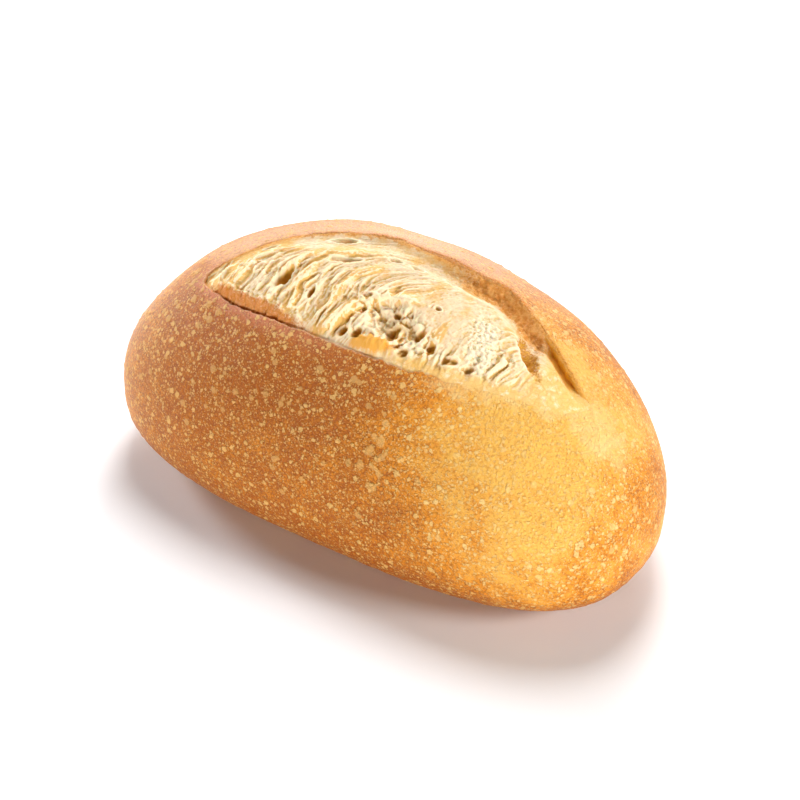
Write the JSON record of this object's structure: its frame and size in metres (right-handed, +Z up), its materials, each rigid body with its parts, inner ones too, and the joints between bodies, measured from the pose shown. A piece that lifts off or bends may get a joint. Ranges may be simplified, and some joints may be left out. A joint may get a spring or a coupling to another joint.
{
  "type": "bread roll",
  "caption": "Oval crusty bread roll with a flat base and one long score on top, opened on a torn, porous crumb.",
  "frame": {"origin": "middle of the flat base, which is also the middle of the bounding box in plan", "axes": "+X along the roll towards the blunter, paler end, +Y across it towards the raised lip of the score, +Z up"},
  "size_m": [0.12, 0.0696, 0.0529],
  "materials": {
    "baked_bread": "baked crust, golden brown with pale blisters, and cream crumb in the open score"
  },
  "bodies": {
    "root": {"bread_roll": "baked_bread"}
  },
  "joints": []
}
